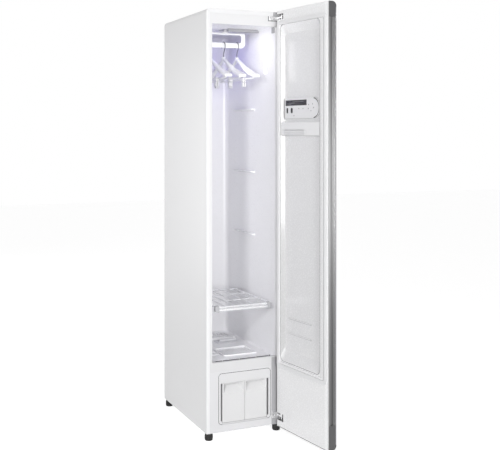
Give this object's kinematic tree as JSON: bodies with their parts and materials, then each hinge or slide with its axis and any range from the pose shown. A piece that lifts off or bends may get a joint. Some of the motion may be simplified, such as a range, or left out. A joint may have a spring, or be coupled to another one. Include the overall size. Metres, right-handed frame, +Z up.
{
  "type": "clothes care steam cabinet",
  "caption": "Tall narrow steam cabinet for clothes care with an open full-height door, moving hanger hoop, wire shelf, lift-out filter and pull-out water tanks",
  "frame": {"origin": "on the floor under the centre of the cabinet body's footprint", "axes": "+Z up, -Y the front that the door closes, +X to the right seen from the front; stored with the door open at 98 degrees"},
  "size_m": [0.4206, 0.9115, 1.852],
  "materials": {
    "case_white": "white powder coat, satin",
    "galvanised": "galvanised sheet",
    "liner_white": "moulded white plastic",
    "foam": "rigid foam",
    "post_grey": "grey plastic",
    "black_plastic": "black moulded plastic",
    "hinge_metal": "zinc plated steel",
    "hanger_white": "white plastic",
    "hook_steel": "steel wire",
    "lens": "frosted lens",
    "compressor_black": "black paint",
    "fin_aluminium": "plain aluminium",
    "boiler": "cast aluminium",
    "circuit_board": "circuit board",
    "shelf_metal": "plated wire",
    "cap_dark": "dark grey plastic",
    "tank_clear": "frosted white plastic",
    "tank_lid_grey": "light grey plastic",
    "filter_grey": "light grey plastic",
    "door_mirror": "tinted mirror glass",
    "trim_metal": "dark brushed metal",
    "cap_grey": "dark grey plastic",
    "door_white": "moulded white plastic",
    "gasket_grey": "soft pale grey gasket",
    "panel_silver": "silver grey plastic",
    "display_dark": "smoked window",
    "button_silver": "dark silver plastic",
    "holder_grey": "grey plastic",
    "clamp_grey": "mid grey plastic"
  },
  "bodies": {
    "cabinet": {"back_panel": "galvanised", "base_pan": "galvanised", "compressor": "compressor_black", "condenser": "fin_aluminium", "cord_gland": "black_plastic", "door_sensor": "post_grey", "drive_cover": "post_grey", "evaporator": "fin_aluminium", "fan_housing": "black_plastic", "floor_tray": "liner_white", "front_frame": "case_white", "hanger_motor": "black_plastic", "hinge_covers": "post_grey", "inner_liner": "liner_white", "insulation_jacket": "foam", "light_lens": "lens", "lower_front_cover": "case_white", "lower_hinge_bracket": "hinge_metal", "main_board": "circuit_board", "side_panel_left": "case_white", "side_panel_right": "case_white", "steam_generator": "boiler", "tank_bay": "liner_white", "top_panel": "case_white", "upper_hinge_bracket": "hinge_metal", "water_pump": "black_plastic"},
    "door": {"door_panel": "door_mirror", "door_side_trims": "trim_metal", "door_end_caps": "cap_grey", "door_liner": "door_white", "door_gasket": "gasket_grey", "control_panel": "panel_silver", "display_window": "display_dark", "trouser_holder": "holder_grey"},
    "hoop": {"hanger_hoop": "hanger_white"},
    "crank_wheel": {"crank": "hinge_metal"},
    "hanger_1": {"hanger_left": "hanger_white", "hook_left": "hook_steel"},
    "hanger_2": {"hanger_middle": "hanger_white", "hook_middle": "hook_steel"},
    "hanger_3": {"hanger_right": "hanger_white", "hook_right": "hook_steel"},
    "clip_pair_1": {"clips_left": "hanger_white"},
    "clip_pair_2": {"clips_middle": "hanger_white"},
    "clip_pair_3": {"clips_right": "hanger_white"},
    "wire_shelf": {"shelf": "shelf_metal", "shelf_caps": "cap_dark"},
    "water_tank": {"supply_tank": "tank_clear", "supply_tank_lid": "tank_lid_grey"},
    "waste_tank": {"drain_tank": "tank_clear", "drain_tank_lid": "tank_lid_grey"},
    "filter": {"lint_filter": "filter_grey"},
    "fan": {"fan_rotor": "black_plastic"},
    "foot_1": {"foot_front_left": "black_plastic"},
    "foot_2": {"foot_front_right": "black_plastic"},
    "foot_3": {"foot_rear_left": "black_plastic"},
    "foot_4": {"foot_rear_right": "black_plastic"},
    "power_key": {"power_button": "button_silver"},
    "start_key": {"start_button": "button_silver"},
    "hem_clamp": {"trouser_clamp": "clamp_grey"}
  },
  "joints": [
    {"name": "door_hinge", "type": "hinge", "parent": "cabinet", "child": "door", "pos_m": [0.1675, -0.295, 0.94], "axis": [0, 0, 1], "range_deg": [-98, 22]},
    {"name": "hanger_shuttle", "type": "slide", "parent": "cabinet", "child": "hoop", "axis": [1, 0, 0], "range_m": [-0.014, 0.014]},
    {"name": "crank_turn", "type": "hinge", "parent": "cabinet", "child": "crank_wheel", "pos_m": [0.008, 0.03, 1.81], "axis": [0, 0, 1], "range_deg": [-45.01, 45.01]},
    {"name": "hanger_swing_1", "type": "hinge", "parent": "hoop", "child": "hanger_1", "pos_m": [-0.067, -0.035, 1.728], "axis": [1, 0, 0], "range_deg": [-6, 6]},
    {"name": "hanger_swing_2", "type": "hinge", "parent": "hoop", "child": "hanger_2", "pos_m": [0, -0.035, 1.728], "axis": [1, 0, 0], "range_deg": [-6, 6]},
    {"name": "hanger_swing_3", "type": "hinge", "parent": "hoop", "child": "hanger_3", "pos_m": [0.067, -0.035, 1.728], "axis": [1, 0, 0], "range_deg": [-6, 6]},
    {"name": "clip_slide_1", "type": "slide", "parent": "hanger_1", "child": "clip_pair_1", "axis": [0, 1, 0], "range_m": [-0.02, 0.02]},
    {"name": "clip_slide_2", "type": "slide", "parent": "hanger_2", "child": "clip_pair_2", "axis": [0, 1, 0], "range_m": [-0.02, 0.02]},
    {"name": "clip_slide_3", "type": "slide", "parent": "hanger_3", "child": "clip_pair_3", "axis": [0, 1, 0], "range_m": [-0.02, 0.02]},
    {"name": "shelf_slide", "type": "slide", "parent": "cabinet", "child": "wire_shelf", "axis": [0, -1, 0], "range_m": [0, 0.25]},
    {"name": "water_tank_slide", "type": "slide", "parent": "cabinet", "child": "water_tank", "axis": [0, -1, 0], "range_m": [0, 0.2]},
    {"name": "waste_tank_slide", "type": "slide", "parent": "cabinet", "child": "waste_tank", "axis": [0, -1, 0], "range_m": [0, 0.2]},
    {"name": "filter_lift", "type": "slide", "parent": "cabinet", "child": "filter", "axis": [0, 0, 1], "range_m": [0, 0.06]},
    {"name": "fan_spin", "type": "hinge", "parent": "cabinet", "child": "fan", "pos_m": [-0.072, -0.012, 0.168], "axis": [0, 1, 0], "continuous": true},
    {"name": "foot_turn_1", "type": "hinge", "parent": "cabinet", "child": "foot_1", "pos_m": [-0.1615, -0.2494, 0.02], "axis": [0, 0, 1], "continuous": true},
    {"name": "foot_turn_2", "type": "hinge", "parent": "cabinet", "child": "foot_2", "pos_m": [0.1615, -0.2494, 0.02], "axis": [0, 0, 1], "continuous": true},
    {"name": "foot_turn_3", "type": "hinge", "parent": "cabinet", "child": "foot_3", "pos_m": [-0.1615, 0.2494, 0.02], "axis": [0, 0, 1], "continuous": true},
    {"name": "foot_turn_4", "type": "hinge", "parent": "cabinet", "child": "foot_4", "pos_m": [0.1615, 0.2494, 0.02], "axis": [0, 0, 1], "continuous": true},
    {"name": "power_press", "type": "slide", "parent": "door", "child": "power_key", "axis": [0.9903, 0.1392, 0], "range_m": [0, 0.001], "stiffness_N_per_m": 400, "springref_m": -0.0005},
    {"name": "start_press", "type": "slide", "parent": "door", "child": "start_key", "axis": [0.9903, 0.1392, 0], "range_m": [0, 0.001], "stiffness_N_per_m": 400, "springref_m": -0.0005},
    {"name": "clamp_swing", "type": "hinge", "parent": "door", "child": "hem_clamp", "pos_m": [0.1705, -0.40616, 1.326], "axis": [-0.1392, 0.9903, 0], "range_deg": [0, 60]}
  ],
  "couplings": [
    {"joint": "crank_turn", "follows": "hanger_shuttle", "rad_per_m": 56.1}
  ]
}
